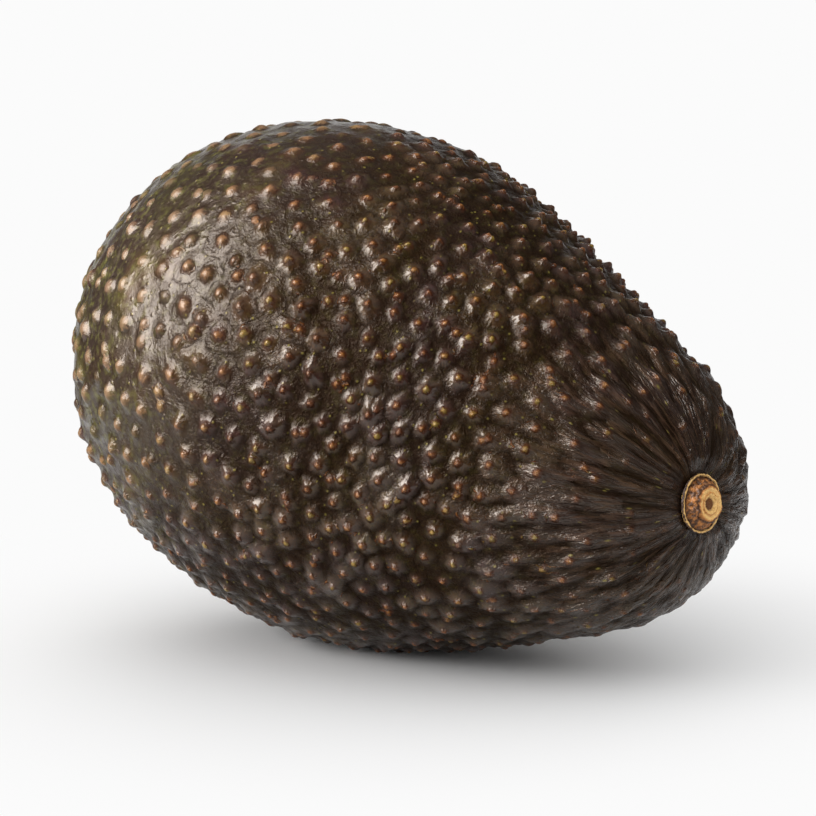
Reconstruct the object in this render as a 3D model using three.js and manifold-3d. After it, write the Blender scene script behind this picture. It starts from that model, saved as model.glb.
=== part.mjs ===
// A whole ripe avocado lying on its side, as picked, with the corky button of its stalk still
// seated at the neck. Millimetres, +Z up. +X runs from the blossom end to the stem end, and the
// origin is the middle of the small flat spot that the fruit rests on.

import * as THREE from 'three';
import { mergeVertices } from 'three/addons/utils/BufferGeometryUtils.js';
import Module from 'manifold-3d';

const wasm = await Module();
wasm.setup();
const { degToRad } = THREE.MathUtils;

// ---------------------------------------------------------------- driving dimensions

// Half outline of the fruit: radius against the station along its own axis. It is blunt at the
// blossom end, fattest at the belly, nearly straight along the flank and blunt again at the neck.
const fruitLength = 105;
const blossomBluntness = 24;
const belly = { station: 43, radius: 36, reachBack: 22, reachForward: 15 };
const shoulder = { station: 86, radius: 22.1, reachBack: 11.5, reachForward: 9.2 };
const flankSlope = degToRad(26.5);
const neckBluntness = 13.6;

// The fruit grew slightly out of round. Each entry is a band of low lobes: where the band is
// centred, how far it spreads along the axis, how many lobes go round, how high they stand and
// where the first crest lies, turned about the axis from +Y towards +Z.
const lobeBands = [
  { station: 72, spread: 18, count: 2, height: 0.84, crest: degToRad(-51) },
  { station: 72, spread: 18, count: 3, height: 0.96, crest: degToRad(5) },
  { station: 25, spread: 22, count: 2, height: 0.67, crest: degToRad(-65) },
];

// How it lies: the neck tips down until the fattest part carries the weight.
const neckDip = degToRad(13.1);
const flatSpotDepth = 0.6;

// Stalk button, off the tip of the neck and facing a little up and to one side of the axis.
const seatFromNeckTip = new THREE.Vector3(-0.8, -4.2, 4.1);
const seatRise = degToRad(17.3);
const seatSwing = degToRad(-5.2);
const touchGap = 0.3;
const rim = { radius: 3.95, thickness: 0.6 };
const boss = { footRadius: 3.1, topRadius: 2.3, height: 1.45 };
const pith = { radius: 1.25, depth: 0.35 };
const plug = { radius: 3.0, length: 2.3 };
const basin = { depth: 0.9, floorRadius: 4.5, mouthRadius: 6.8, mouthRise: 0.5 };

// Fineness of the surfaces
const ringsAlongFruit = 42;
const segmentsRoundFruit = 72;
const segmentsRoundButton = 48;

// ---------------------------------------------------------------- solids

const weldDistance = 1e-4;

// A closed surface whose shared corners are merged, as a solid that can be cut.
function toSolid(geometry) {
  const bare = geometry.clone();
  bare.deleteAttribute('normal');
  bare.deleteAttribute('uv');
  const welded = mergeVertices(bare, weldDistance);
  const corners = Array.from(welded.index.array);
  const triVerts = [];
  for (let i = 0; i < corners.length; i += 3) {
    const [a, b, c] = corners.slice(i, i + 3);
    if (a !== b && b !== c && c !== a) triVerts.push(a, b, c);
  }
  return new wasm.Manifold(new wasm.Mesh({
    numProp: 3,
    vertProperties: Float32Array.from(welded.attributes.position.array),
    triVerts: Uint32Array.from(triVerts),
  }));
}

function toGeometry(solid) {
  const { vertProperties, triVerts } = solid.getMesh();
  const geometry = new THREE.BufferGeometry();
  geometry.setAttribute('position', new THREE.BufferAttribute(vertProperties, 3));
  geometry.setIndex(new THREE.BufferAttribute(triVerts, 1));
  geometry.computeVertexNormals();
  return geometry;
}

// Revolves [radius, height] points, listed from the bottom of the axis to its top, about +Z.
function turned(points, segments) {
  const outline = points.map(([radius, height]) => new THREE.Vector2(radius, height));
  return new THREE.LatheGeometry(outline, segments).rotateX(Math.PI / 2);
}

// ---------------------------------------------------------------- fruit

function halfOutline() {
  const at = (radius, station) => new THREE.Vector2(radius, station);
  const alongFlank = at(-Math.sin(flankSlope), Math.cos(flankSlope));
  const bellyPoint = at(belly.radius, belly.station);
  const shoulderPoint = at(shoulder.radius, shoulder.station);
  const outline = new THREE.CurvePath();
  outline.add(new THREE.CubicBezierCurve(
    at(0, 0),
    at(blossomBluntness, 0),
    at(belly.radius, belly.station - belly.reachBack),
    bellyPoint,
  ));
  outline.add(new THREE.CubicBezierCurve(
    bellyPoint,
    at(belly.radius, belly.station + belly.reachForward),
    shoulderPoint.clone().addScaledVector(alongFlank, -shoulder.reachBack),
    shoulderPoint,
  ));
  outline.add(new THREE.CubicBezierCurve(
    shoulderPoint,
    shoulderPoint.clone().addScaledVector(alongFlank, shoulder.reachForward),
    at(neckBluntness, fruitLength),
    at(0, fruitLength),
  ));
  return outline.getSpacedPoints(ringsAlongFruit).map((p) => [Math.max(p.x, 0), p.y]);
}

// How far the surface stands off the round form at a station and an angle about the axis.
function lobeHeight(station, angle) {
  const fadeAtPoles = Math.sin(Math.PI * THREE.MathUtils.clamp(station / fruitLength, 0, 1));
  return lobeBands.reduce((height, band) => {
    const spread = Math.exp(-(((station - band.station) / band.spread) ** 2));
    return height + fadeAtPoles * spread * band.height * Math.cos(band.count * angle - band.count * band.crest);
  }, 0);
}

// The whole fruit with its axis along +X and its blossom end at the origin.
function fruitForm() {
  const form = turned(halfOutline(), segmentsRoundFruit).rotateY(Math.PI / 2);
  const place = form.attributes.position;
  for (let i = 0; i < place.count; i += 1) {
    const station = place.getX(i);
    const radius = Math.hypot(place.getY(i), place.getZ(i));
    if (radius > weldDistance) {
      const angle = Math.atan2(place.getZ(i), place.getY(i));
      const scale = 1 + lobeHeight(station, angle) / radius;
      place.setXYZ(i, station, place.getY(i) * scale, place.getZ(i) * scale);
    } else {
      place.setXYZ(i, station, 0, 0);
    }
  }
  return form;
}

// ---------------------------------------------------------------- stalk button and its seat

// Where the button sits, from its own frame (+Z out of the fruit) to the tipped fruit's frame.
function seatPose() {
  const outward = new THREE.Vector3(
    Math.cos(seatRise) * Math.cos(seatSwing),
    Math.cos(seatRise) * Math.sin(seatSwing),
    Math.sin(seatRise),
  );
  const turn = new THREE.Quaternion().setFromUnitVectors(new THREE.Vector3(0, 0, 1), outward);
  const seat = new THREE.Vector3(fruitLength, 0, 0).add(seatFromNeckTip);
  return new THREE.Matrix4()
    .makeRotationY(neckDip)
    .multiply(new THREE.Matrix4().compose(seat, turn, new THREE.Vector3(1, 1, 1)));
}

// The button: a plug in the flesh, a thin rim, a boss left by the stalk, and its ring and pith.
function buttonForm() {
  const rimEdge = rim.thickness / 2;
  return turned([
    [0, -rim.thickness - plug.length],
    [plug.radius - 0.5, -rim.thickness - plug.length],
    [plug.radius, -rim.thickness - plug.length + 0.5],
    [plug.radius, -rim.thickness],
    [rim.radius - 0.2, -rim.thickness],
    [rim.radius, -rimEdge],
    [rim.radius - 0.1, 0],
    [rim.radius - 0.35, -0.05],
    [boss.footRadius + 0.15, -0.25],
    [boss.footRadius - 0.15, 0.1],
    [boss.topRadius + 0.3, boss.height * 0.7],
    [boss.topRadius, boss.height * 0.93],
    [boss.topRadius - 0.25, boss.height],
    [boss.topRadius - 0.5, boss.height - 0.12],
    [pith.radius + 0.3, boss.height],
    [pith.radius, boss.height - 0.1],
    [pith.radius - 0.25, boss.height - pith.depth],
    [0, boss.height - pith.depth],
  ], segmentsRoundButton);
}

// What is missing from the flesh there: a bore round the plug and a shallow basin round the rim.
function seatCutter() {
  const boreRadius = plug.radius + touchGap;
  const boreFloor = -rim.thickness - plug.length - touchGap;
  const clearOfFruit = 6;
  return turned([
    [0, boreFloor],
    [boreRadius, boreFloor],
    [boreRadius, -basin.depth],
    [basin.floorRadius, -basin.depth],
    [basin.floorRadius + 0.8, -basin.depth + 0.15],
    [basin.mouthRadius, basin.mouthRise],
    [basin.mouthRadius + 1, clearOfFruit],
    [0, clearOfFruit],
  ], segmentsRoundButton);
}

// ---------------------------------------------------------------- assembly

// The lowest slice comes off flat: this is its height in the tipped fruit's frame.
const tippedFruit = fruitForm().rotateY(neckDip);
tippedFruit.computeBoundingBox();
const restLevel = Math.fround(tippedFruit.boundingBox.min.z + flatSpotDepth);

const underThickness = 20;
const under = new THREE.BoxGeometry(2 * fruitLength, 2 * fruitLength, underThickness);
under.translate(fruitLength / 2, 0, restLevel - underThickness / 2);

const seat = seatPose();
const fruitGeometry = toGeometry(
  toSolid(tippedFruit)
    .subtract(toSolid(under))
    .subtract(toSolid(seatCutter().applyMatrix4(seat))),
);

function flatSpotCentre() {
  const place = fruitGeometry.attributes.position;
  const spot = new THREE.Box3();
  for (let i = 0; i < place.count; i += 1) {
    const corner = new THREE.Vector3().fromBufferAttribute(place, i);
    if (Math.abs(corner.z - restLevel) < weldDistance) spot.expandByPoint(corner);
  }
  return spot.getCenter(new THREE.Vector3());
}

const fruit = new THREE.Mesh(
  fruitGeometry,
  new THREE.MeshStandardMaterial({ color: 0x38302a, roughness: 0.45, metalness: 0 }),
);
fruit.name = 'fruit';

const stalkButton = new THREE.Mesh(
  toGeometry(toSolid(buttonForm())),
  new THREE.MeshStandardMaterial({ color: 0xb07a42, roughness: 0.75, metalness: 0 }),
);
stalkButton.name = 'stalk_button';
stalkButton.applyMatrix4(seat);

const avocado = new THREE.Group();
avocado.add(fruit, stalkButton);
avocado.position.copy(flatSpotCentre()).negate().setZ(-restLevel);

export default avocado;
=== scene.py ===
import functools
import itertools
import math

import bmesh
import bpy
import numpy as np
from bpy.props import FloatProperty, FloatVectorProperty, IntProperty, PointerProperty
from mathutils import Matrix, Vector, kdtree


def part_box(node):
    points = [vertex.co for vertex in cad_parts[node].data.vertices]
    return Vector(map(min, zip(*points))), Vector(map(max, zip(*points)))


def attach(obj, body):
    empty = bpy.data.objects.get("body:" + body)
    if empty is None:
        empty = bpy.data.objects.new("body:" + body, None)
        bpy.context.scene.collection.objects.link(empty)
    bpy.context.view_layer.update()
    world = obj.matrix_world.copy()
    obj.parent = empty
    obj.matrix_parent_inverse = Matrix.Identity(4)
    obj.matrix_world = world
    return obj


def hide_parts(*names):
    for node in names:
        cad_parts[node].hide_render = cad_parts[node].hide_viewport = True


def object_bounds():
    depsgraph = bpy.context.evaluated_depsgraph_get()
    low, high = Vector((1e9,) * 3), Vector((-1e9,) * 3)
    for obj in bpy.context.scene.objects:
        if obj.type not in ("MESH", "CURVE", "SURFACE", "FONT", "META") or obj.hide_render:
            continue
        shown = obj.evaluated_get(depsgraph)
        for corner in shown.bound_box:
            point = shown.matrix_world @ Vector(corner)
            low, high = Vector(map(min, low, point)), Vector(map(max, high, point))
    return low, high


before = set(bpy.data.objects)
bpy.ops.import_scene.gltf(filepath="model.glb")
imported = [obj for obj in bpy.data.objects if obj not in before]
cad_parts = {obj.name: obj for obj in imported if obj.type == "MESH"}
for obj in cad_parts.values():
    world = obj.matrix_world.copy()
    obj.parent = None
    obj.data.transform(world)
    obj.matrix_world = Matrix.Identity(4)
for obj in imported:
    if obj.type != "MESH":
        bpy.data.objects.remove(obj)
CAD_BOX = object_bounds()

bl_info = {
    "name": "Avocado",
    "version": (1, 0, 0),
    "blender": (4, 5, 0),
    "location": "View3D > Sidebar > Avocado",
    "description": "Dresses a whole ripe avocado: pebbled rind, cork stalk button and stage",
    "category": "Add Mesh",
}

MM = 0.001
PIECES = ("rind", "stalk_button_cork")


def linear(colour):
    """The linear colour of an sRGB hex value such as #3a302a."""
    shares = [int(colour[i:i + 2], 16) / 255 for i in (1, 3, 5)]
    return tuple(s / 12.92 if s <= 0.04045 else ((s + 0.055) / 1.055) ** 2.4 for s in shares)


# ------------------------------------------------------------------ sizes and colours


def length_setting(name, description, default):
    """A length that the user can set, its default in millimetres."""
    return FloatProperty(
        name=name, description=description, default=default * MM, unit="LENGTH")


def share_setting(name, description, default):
    return FloatProperty(name=name, description=description, default=default, subtype="FACTOR")


def angle_setting(name, description, default):
    """An angle that the user can set, its default in degrees."""
    return FloatProperty(
        name=name, description=description, default=math.radians(default), subtype="ANGLE")


def power_setting(name, description, default):
    return FloatProperty(name=name, description=description, default=default, unit="POWER")


def direction_setting(name, description, default):
    return FloatVectorProperty(
        name=name, description=description, default=default, subtype="DIRECTION")


def colour_setting(name, description, default):
    """A colour that the user can set, its default an sRGB hex value."""
    return FloatVectorProperty(
        name=name, description=description, default=linear(default), subtype="COLOR", size=3)


class FruitForm(bpy.types.PropertyGroup):
    """The bare fruit, before its skin is given any relief. Shares are of the fruit's length."""

    length: length_setting("Length", "Along the fruit's own axis", 105)
    blossom_bluntness: share_setting(
        "Blossom bluntness", "How far out the blossom end stays blunt", 24 / 105)
    belly_station: share_setting(
        "Belly station", "Where the fruit is fattest, from the blossom end", 43 / 105)
    belly_radius: share_setting("Belly radius", "Radius at the fattest place", 36 / 105)
    belly_back: share_setting(
        "Belly back", "How far the belly reaches towards the blossom end", 22 / 105)
    belly_forward: share_setting(
        "Belly forward", "How far the belly reaches towards the neck", 15 / 105)
    shoulder_station: share_setting(
        "Shoulder station", "Where the straight flank turns into the neck end", 86 / 105)
    shoulder_radius: share_setting("Shoulder radius", "Radius where the flank ends", 22.1 / 105)
    shoulder_back: share_setting(
        "Shoulder back", "How much of the flank by the shoulder is straight", 11.5 / 105)
    shoulder_forward: share_setting(
        "Shoulder forward", "How far the flank's line runs on into the neck end", 9.2 / 105)
    flank_slope: angle_setting("Flank slope", "Slope of the flank to the axis", 26.5)
    neck_bluntness: share_setting(
        "Neck bluntness", "How far out the neck end stays blunt", 13.6 / 105)
    neck_dip: angle_setting("Neck dip", "How far the neck tips down as the fruit lies", 13.1)
    seat_rise: angle_setting("Seat rise", "How far the stalk's seat faces up from the axis", 17.3)
    seat_swing: angle_setting(
        "Seat swing", "How far the stalk's seat faces to the side of the axis", -5.2)


class RindRelief(bpy.types.PropertyGroup):
    """Sizes of what stands out of the skin."""

    triangles: IntProperty(
        name="Triangles", description="Faces of the finished rind", default=196000)
    pebble_spacing: length_setting(
        "Pebble spacing", "Least distance between two pebbles, before they are evened", 3.45)
    hill_radius: length_setting("Hill radius", "Mean radius of a pebble's broad foot", 1.85)
    hill_height: length_setting("Hill height", "Mean height of a pebble's broad foot", 0.58)
    bead_radius: length_setting("Bead radius", "Radius of the hard bead on a pebble", 0.64)
    bead_height: length_setting("Bead height", "Height of the bead over the pebble's foot", 0.32)
    grain_spacing: length_setting("Grain spacing", "Least distance between two small bumps", 1.3)
    grain_height: length_setting(
        "Grain height", "Mean height of the small bumps between the pebbles", 0.1)
    groove_depth: length_setting("Groove depth", "Depth of the creases that part the pebbles", 0.06)
    pleat_height: length_setting(
        "Pleat height", "Height of the pleats that run into the stalk's seat", 0.5)


class RindColours(bpy.types.PropertyGroup):
    """Colours of the skin."""

    ground: colour_setting("Ground", "Ripe skin between the pebbles", "#38220f")
    plum: colour_setting("Plum", "Purple-black skin, ripest", "#301a18")
    olive: colour_setting("Olive", "Skin that still shows some green", "#4a441a")
    # Painted highlight: a paler colour laid on the crests of the neck's ridges, where they catch
    # the light.
    ridge_highlight: colour_setting("Ridge", "Neck, on top of its ridges", "#4c382a")
    hollow_shade: colour_setting("Hollow", "Darker skin low between the pebbles", "#1a1008")
    # Painted shade: this dark colour is laid low between the pebbles, in the grooves and in the
    # neck's furrows, where shade falls.
    moss: colour_setting("Moss", "Green left in the creases", "#62602a")
    halo: colour_setting("Halo", "Red-brown skin round a pebble's tip", "#4c2616")
    tip_red: colour_setting("Red tip", "Red-brown tip of a ripe pebble", "#6e2a0c")
    tip: colour_setting("Copper tip", "Corky copper tip of a pebble", "#6c3816")
    tip_pale: colour_setting("Pale tip", "Olive tip of a younger pebble", "#716022")
    tip_gold: colour_setting("Golden tip", "Tip of a pebble on the greener side", "#86642a")
    tan: colour_setting("Tan", "Worn top of a round pebble at the blossom end", "#86664c")
    core: colour_setting("Core", "Golden middle of a pebble's tip", "#a0702e")
    speck: colour_setting("Speck", "Small pale pores between the pebbles", "#7d7236")


class ButtonSizes(bpy.types.PropertyGroup):
    """Sizes of the stalk button."""

    rim_radius: length_setting("Rim radius", "Radius of the thin rim", 3.9)
    rim_thickness: length_setting("Rim thickness", "Thickness of the rim", 0.6)
    boss_foot: length_setting("Boss foot", "Radius of the boss at its foot", 3.2)
    boss_top: length_setting("Boss top", "Radius of the cut face on the boss", 2.2)
    boss_height: length_setting("Boss height", "Height of the cut face over the rim", 1.45)
    pith_radius: length_setting("Pith radius", "Radius of the sunk pith", 1.05)
    pith_depth: length_setting("Pith depth", "How far the pith is sunk in the cut face", 0.5)
    plug_radius: length_setting("Plug radius", "Radius of the plug in the flesh", 3.0)
    plug_length: length_setting("Plug length", "Length of the plug under the rim", 2.3)


class ButtonColours(bpy.types.PropertyGroup):
    """Colours of the stalk button."""

    cork: colour_setting("Cork", "Dry golden tan of the boss", "#b87636")
    ring: colour_setting("Ring", "Pale ring of the cut face and edge of the rim", "#e4b872")
    bark: colour_setting("Bark", "Dark mottling on the flank of the boss", "#3a1f0e")
    pith: colour_setting("Pith", "Brown pith in the middle", "#633a16")


class StageSettings(bpy.types.PropertyGroup):
    """Floor, lamps and camera. Directions point from the fruit."""

    floor_size: length_setting("Floor size", "Side of the floor", 320)
    floor_colour: colour_setting("Floor colour", "White card under the fruit", "#fbfbfb")
    shadow_reach: length_setting("Shadow reach", "The card takes shadow up to here", 20)
    white_reach: length_setting("White reach", "From here on the card is plain white", 100)
    softbox_width: length_setting("Softbox width", "Width of the softbox", 560)
    softbox_height: length_setting("Softbox height", "Height of the softbox", 620)
    softbox_distance: length_setting("Softbox distance", "From the fruit to the softbox", 750)
    softbox_power: power_setting("Softbox power", "Power of the softbox", 12.2)
    glint_power: power_setting(
        "Glint power", "Power of the softbox's twin, which shows only in gloss", 17.0)
    softbox_from: direction_setting("Softbox from", "Where the softbox hangs", (-0.51, -0.72, 0.48))
    lamp_side: length_setting("Lamp side", "Side of the fill light and the floor lights", 1200)
    lamp_distance: length_setting(
        "Lamp distance", "From the fruit to every lamp but the softbox", 1200)
    ceiling_side: length_setting("Ceiling side", "Side of the square ceiling light", 2400)
    ceiling_power: power_setting("Ceiling power", "Power of the ceiling light over the floor", 7.9)
    ceiling_from: direction_setting(
        "Ceiling light from", "Where the ceiling light hangs", (-0.15, -0.3, 0.94))
    fill_power: power_setting("Fill power", "Power of the fill light, which shows in no gloss", 8.5)
    fill_from: direction_setting("Fill light from", "Where the fill light hangs", (0.72, 0.0, 0.69))
    left_power: power_setting(
        "Left power", "Power of the left light, which reaches only the floor", 10.2)
    left_turn: angle_setting("Left turn", "Turn from the camera to the left floor light", -75)
    left_elevation: angle_setting("Left elevation", "Height of the left floor light", 20)
    rear_power: power_setting(
        "Rear power", "Power of the rear light, which reaches only the floor", 4.2)
    rear_turn: angle_setting("Rear turn", "Turn from the camera to the rear floor light", 170)
    rear_elevation: angle_setting("Rear elevation", "Height of the rear floor light", 32)
    room_light: FloatProperty(
        name="Room light", description="Soft light from all round, which shows in no gloss",
        default=0.45)
    room_dim: FloatProperty(
        name="Dim room", description="How bright most of the room shows in gloss",
        default=0.05)
    room_bright: FloatProperty(
        name="Bright room", description="How bright the side overhead shows in gloss",
        default=0.42)
    bright_from: direction_setting("Bright from", "Where the room is brightest", (0.2, 0.05, 0.98))
    bright_edge: FloatProperty(
        name="Bright edge", description="Cosine to the brightest place where its light begins",
        default=0.4)
    wall_edge: FloatProperty(
        name="Wall edge", description="Cosine to the middle of the white wall at its edge",
        default=0.85)
    camera_azimuth: angle_setting("Camera azimuth", "Turn of the camera round the fruit", 39.26)
    camera_elevation: angle_setting(
        "Camera elevation", "Height of the camera over the horizon", 8.0)
    camera_distance: length_setting("Camera distance", "From the fruit's heart to the camera", 450)
    camera_heart: FloatVectorProperty(
        name="Heart", description="What the camera is turned round, from the fruit's middle",
        default=(-4.635 * MM, -0.075 * MM, -1.505 * MM), subtype="TRANSLATION")
    aim_right: length_setting("Aim right", "How far right of the heart the camera aims", 3.44)
    aim_down: length_setting("Aim down", "How far under the heart the camera aims", 2.1)
    lens: FloatProperty(
        name="Lens", description="Focal length in millimetres", default=142.6)


# ------------------------------------------------------------------ numbers and fields


def smoothstep(low, high, value):
    """Rises smoothly from 0 at low to 1 at high."""
    t = np.clip((value - low) / (high - low), 0, 1)
    return t * t * (3 - 2 * t)


def bezier(a, b, c, d, count):
    t = np.linspace(0, 1, count)[:, None]
    return (1 - t) ** 3 * a + 3 * (1 - t) ** 2 * t * b + 3 * (1 - t) * t ** 2 * c + t ** 3 * d


def noise(points, seed):
    """A smooth random field of about -1 to 1 that changes over about one unit."""
    rng = np.random.default_rng(seed)
    shuffle = rng.permutation(256)
    slopes = rng.normal(size=(256, 3))
    slopes /= np.linalg.norm(slopes, axis=1, keepdims=True)
    cell = np.floor(points).astype(int)
    inside = points - cell
    fade = inside ** 3 * (inside * (inside * 6 - 15) + 10)
    total = np.zeros(len(points))
    for corner in itertools.product((0, 1), repeat=3):
        x, y, z = ((cell + corner) & 255).T
        slope = slopes[shuffle[(shuffle[(shuffle[x] + y) & 255] + z) & 255]]
        weight = np.prod(np.where(corner, fade, 1 - fade), axis=1)
        total += weight * np.sum((inside - corner) * slope, axis=1)
    return total * 1.6


def ridges(points, seed):
    """Sharp-crested folds, 1 on a crest and about 0 in the hollows."""
    return 1 - np.abs(noise(points, seed)) * 1.8


def scattered(space, spacing, tries, seed):
    """Indices of points picked at random from space, none nearer to another than its spacing."""
    order = np.random.default_rng(seed).permutation(len(space))[:tries]
    spacing = np.broadcast_to(spacing, len(space))
    cells = np.floor(space / spacing.max()).astype(int)
    taken = {}
    picked = []
    for i in order:
        x, y, z = cells[i]
        near = [
            j
            for dx, dy, dz in itertools.product((-1, 0, 1), repeat=3)
            for j in taken.get((x + dx, y + dy, z + dz), ())
        ]
        if near and np.min(np.sum((space[near] - space[i]) ** 2, axis=1)) < spacing[i] ** 2:
            continue
        taken.setdefault((x, y, z), []).append(i)
        picked.append(i)
    return np.array(picked)


def nearest(places, centres, count):
    """Indices of the count centres nearest to each place, nearest first."""
    tree = kdtree.KDTree(len(centres))
    for i, centre in enumerate(centres):
        tree.insert(centre, i)
    tree.balance()
    return np.array([[index for _, index, _ in tree.find_n(place, count)] for place in places])


def evened(places, centres):
    """Centres moved to the middle of what lies nearest to them, so they are spaced more evenly."""
    own = nearest(places, centres, 1)[:, 0]
    held = np.bincount(own, minlength=len(centres))[:, None]
    total = np.stack([np.bincount(own, places[:, k], len(centres)) for k in range(3)], axis=1)
    return np.where(held > 0, total / np.maximum(held, 1), centres)


# ------------------------------------------------------------------ bare fruit

# Bands of low lobes, as the fruit grew slightly out of round: station of the band, its spread
# along the axis, lobes round the axis, their height and the angle of the first crest from +Y.
LOBE_BANDS = (
    (72 * MM, 18 * MM, 2, 0.84 * MM, math.radians(-51)),
    (72 * MM, 18 * MM, 3, 0.96 * MM, math.radians(5)),
    (25 * MM, 22 * MM, 2, 0.67 * MM, math.radians(-65)),
)


def half_outline(form):
    """Stations and radii of the fruit's half outline, closely spaced, blossom end first."""
    length = form.length
    slope = np.array([math.cos(form.flank_slope), -math.sin(form.flank_slope)])
    belly = np.array([form.belly_station, form.belly_radius]) * length
    shoulder = np.array([form.shoulder_station, form.shoulder_radius]) * length
    start = np.zeros(2)
    end = np.array([length, 0])
    count = 700
    blossom_cap = bezier(
        start, np.array([0, form.blossom_bluntness * length]),
        belly - [form.belly_back * length, 0], belly, count)
    flank = bezier(
        belly, belly + [form.belly_forward * length, 0],
        shoulder - slope * form.shoulder_back * length, shoulder, count)
    neck_cap = bezier(
        shoulder, shoulder + slope * form.shoulder_forward * length,
        end + [0, form.neck_bluntness * length], end, count)
    return np.vstack([blossom_cap, flank[1:], neck_cap[1:]])


def lobes(station, angle, length):
    """How far the fruit stands off its round form."""
    height = np.zeros(len(station))
    for middle, spread, count, rise, crest in LOBE_BANDS:
        band = np.exp(-((station - middle) / spread) ** 2)
        height += band * rise * np.cos(count * (angle - crest))
    return height * np.sin(np.pi * np.clip(station / length, 0, 1))


def tipped(points, dip):
    """Points turned about +Y, so that the neck dips."""
    c, s = math.cos(dip), math.sin(dip)
    x, y, z = points.T
    return np.stack([c * x + s * z, y, c * z - s * x], axis=1)


class BareFruit:
    """The fruit without relief, on the corners of an evenly faceted ball."""

    def __init__(self, form, ball):
        outline = half_outline(form)
        step = np.diff(outline, axis=0)
        arc = np.concatenate([[0], np.cumsum(np.hypot(*step.T))])
        middle_radius = (outline[1:, 1] + outline[:-1, 1]) / 2
        area = np.concatenate([[0], np.cumsum(np.diff(arc) * middle_radius)])
        share = (1 + ball[:, 0]) / 2 * area[-1]
        station = np.interp(share, area, outline[:, 0])
        radius = np.interp(share, area, outline[:, 1])
        angle = np.arctan2(ball[:, 2], ball[:, 1])
        radius = radius + lobes(station, angle, form.length)
        self.arc = np.interp(share, area, arc)
        self.arc_end = arc[-1]
        self.station = station / form.length
        self.points = np.stack([station, radius * np.cos(angle), radius * np.sin(angle)], axis=1)
        self.dip = form.neck_dip
        low, high = (np.array(corner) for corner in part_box("fruit"))
        lying = tipped(self.points, self.dip)
        self.scale = (high[0] - low[0]) / np.ptp(lying[:, 0])
        lying *= self.scale
        middle = (lying.max(0) + lying.min(0)) / 2
        self.shift = (low + high) / 2 - middle
        self.shift[2] = high[2] - lying[:, 2].max()
        self.lying = lying + self.shift

    def upright(self, point):
        """A place in the frame, told in the fruit's own axes."""
        return tipped((point[None] - self.shift) / self.scale, -self.dip)[0]


def seat_axes(form):
    """Turn from the stalk button's own axes, +Z out of the fruit, to the frame."""
    rise, swing = form.seat_rise, form.seat_swing
    outward = Vector((
        math.cos(rise) * math.cos(swing), math.cos(rise) * math.sin(swing), math.sin(rise)))
    turn = Vector((0, 0, 1)).rotation_difference(outward)
    return Matrix.Rotation(form.neck_dip, 3, "Y") @ turn.to_matrix()


# ------------------------------------------------------------------ rind

BALL_SUBDIVISIONS = 9
NECK_RADIUS = 15 * MM      # the relief's pattern keeps this radius where the neck closes

LEAN = 0.35                # how far a pebble's hill leans, at most
RAGGED_FOOT = 0.14         # how far its foot wanders in and out
FLANK_FOLDS = 0.3          # how deep the folds of its flanks are
OWN_SHARE = 0.65           # share of a height that is the place's own bump, the rest is all bumps
FOOT_ROUNDING = 1.8        # how softly a hill runs out at its foot

# Between which shares of the way from the blossom end to the stalk's seat each change sets in.
DOMES_END = (0.3, 0.56)
PULL_TO_SEAT = (0.5, 0.95)
NECK_BEGINS = (0.62, 1.0)
DRAWN_TOGETHER = (0.66, 0.95)
PLEATS_BEGIN = (0.66, 0.88)
TAILS_BEGIN = (0.66, 0.9)
SUNK_LESS = (0.75, 0.95)
PEBBLES_SHRINK = (0.78, 0.96)


def pattern_space(bare, seat):
    """Where each corner lies in the relief's own space, and how the pattern is drawn together.

    The pattern is even over the belly. Along the neck it is drawn out lengthwise, and at the tip
    all its lines run together at the stalk's seat.
    """
    _, y, z = bare.points.T
    pull = smoothstep(*PULL_TO_SEAT, bare.station)
    y_off = y - pull * seat[1]
    z_off = z - pull * seat[2]
    angle = np.arctan2(z_off, y_off)
    radius = np.hypot(y_off, z_off)
    from_seat = np.linalg.norm(bare.points - seat, axis=1)
    arc = (1 - pull) * bare.arc + pull * (bare.arc_end - from_seat)
    neck = smoothstep(*NECK_BEGINS, arc / bare.arc_end)
    shown_radius = np.hypot(radius, NECK_RADIUS * neck)
    gather = radius / shown_radius
    steps = np.linspace(0, bare.arc_end, 400)
    squeeze = 1 - 0.58 * smoothstep(*DRAWN_TOGETHER, steps / bare.arc_end)
    along = np.concatenate([[0], np.cumsum((squeeze[1:] + squeeze[:-1]) / 2 * np.diff(steps))])
    space = np.stack([
        np.interp(arc, steps, along),
        shown_radius * np.cos(angle),
        shown_radius * np.sin(angle),
    ], axis=1)
    return space, neck, gather


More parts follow.
